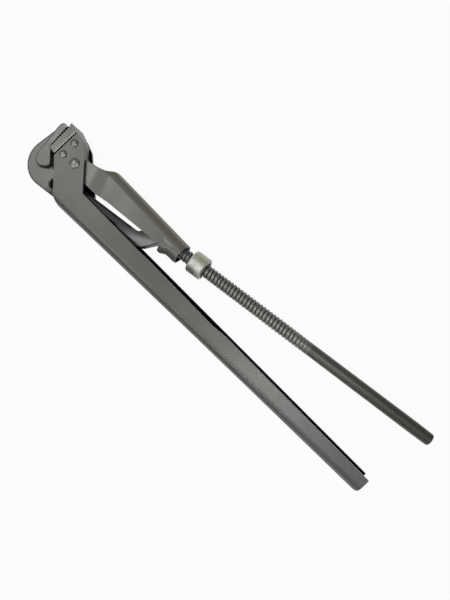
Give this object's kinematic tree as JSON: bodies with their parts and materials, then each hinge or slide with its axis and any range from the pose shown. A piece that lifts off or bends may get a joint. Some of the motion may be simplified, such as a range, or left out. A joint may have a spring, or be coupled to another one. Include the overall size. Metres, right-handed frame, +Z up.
{
  "type": "pipe wrench",
  "caption": "Lever pipe wrench: folded channel handle with a riveted toothed jaw, pivoting link shell, forged hook lever with threaded shank, adjusting nut.",
  "frame": {"origin": "under the middle of the bounding box, on the surface that the wrench lies on", "axes": "+X runs along the channel handle from the jaws to its end, +Y to the side of the round handle, +Z up through both cheeks along the pivot rivet"},
  "size_m": [0.4152, 0.0846, 0.0276],
  "materials": {
    "handle_steel": "dark phosphated steel, satin, worn bright along the edges",
    "jaw_steel": "dark phosphated forged steel, satin",
    "rivet_steel": "dark phosphated rivet, worn bright on the dome",
    "bush_steel": "turned steel, oiled",
    "link_steel": "dark phosphated sheet steel, satin, with a brownish back",
    "spring_steel": "blued spring steel",
    "lever_steel": "dark phosphated forging, matte, with a darker threaded shank",
    "nut_zinc": "zinc-plated steel, dulled with greenish stains"
  },
  "bodies": {
    "handle": {"channel_handle": "handle_steel", "fixed_jaw": "jaw_steel", "jaw_rivets": "rivet_steel", "pivot_rivet": "rivet_steel", "pivot_bush": "bush_steel"},
    "link": {"link_shell": "link_steel", "leaf_spring": "spring_steel"},
    "lever": {"hook_lever": "lever_steel"},
    "nut": {"adjusting_nut": "nut_zinc"}
  },
  "joints": [
    {"name": "handle_hinge", "type": "hinge", "parent": "handle", "child": "link", "pos_m": [-0.16395, -0.00428, 0.0138], "axis": [0, 0, 1], "range_deg": [0, 12]},
    {"name": "jaw_slide", "type": "slide", "parent": "link", "child": "lever", "axis": [-0.9918, -0.1279, 0], "range_m": [0, 0.065]},
    {"name": "nut_spin", "type": "hinge", "parent": "link", "child": "nut", "pos_m": [-0.02389, 0.00784, 0.0138], "axis": [0.9918, 0.1279, 0], "range_deg": [0, 6882.35]}
  ],
  "couplings": [
    {"joint": "nut_spin", "follows": "jaw_slide", "rad_per_m": 1848}
  ]
}
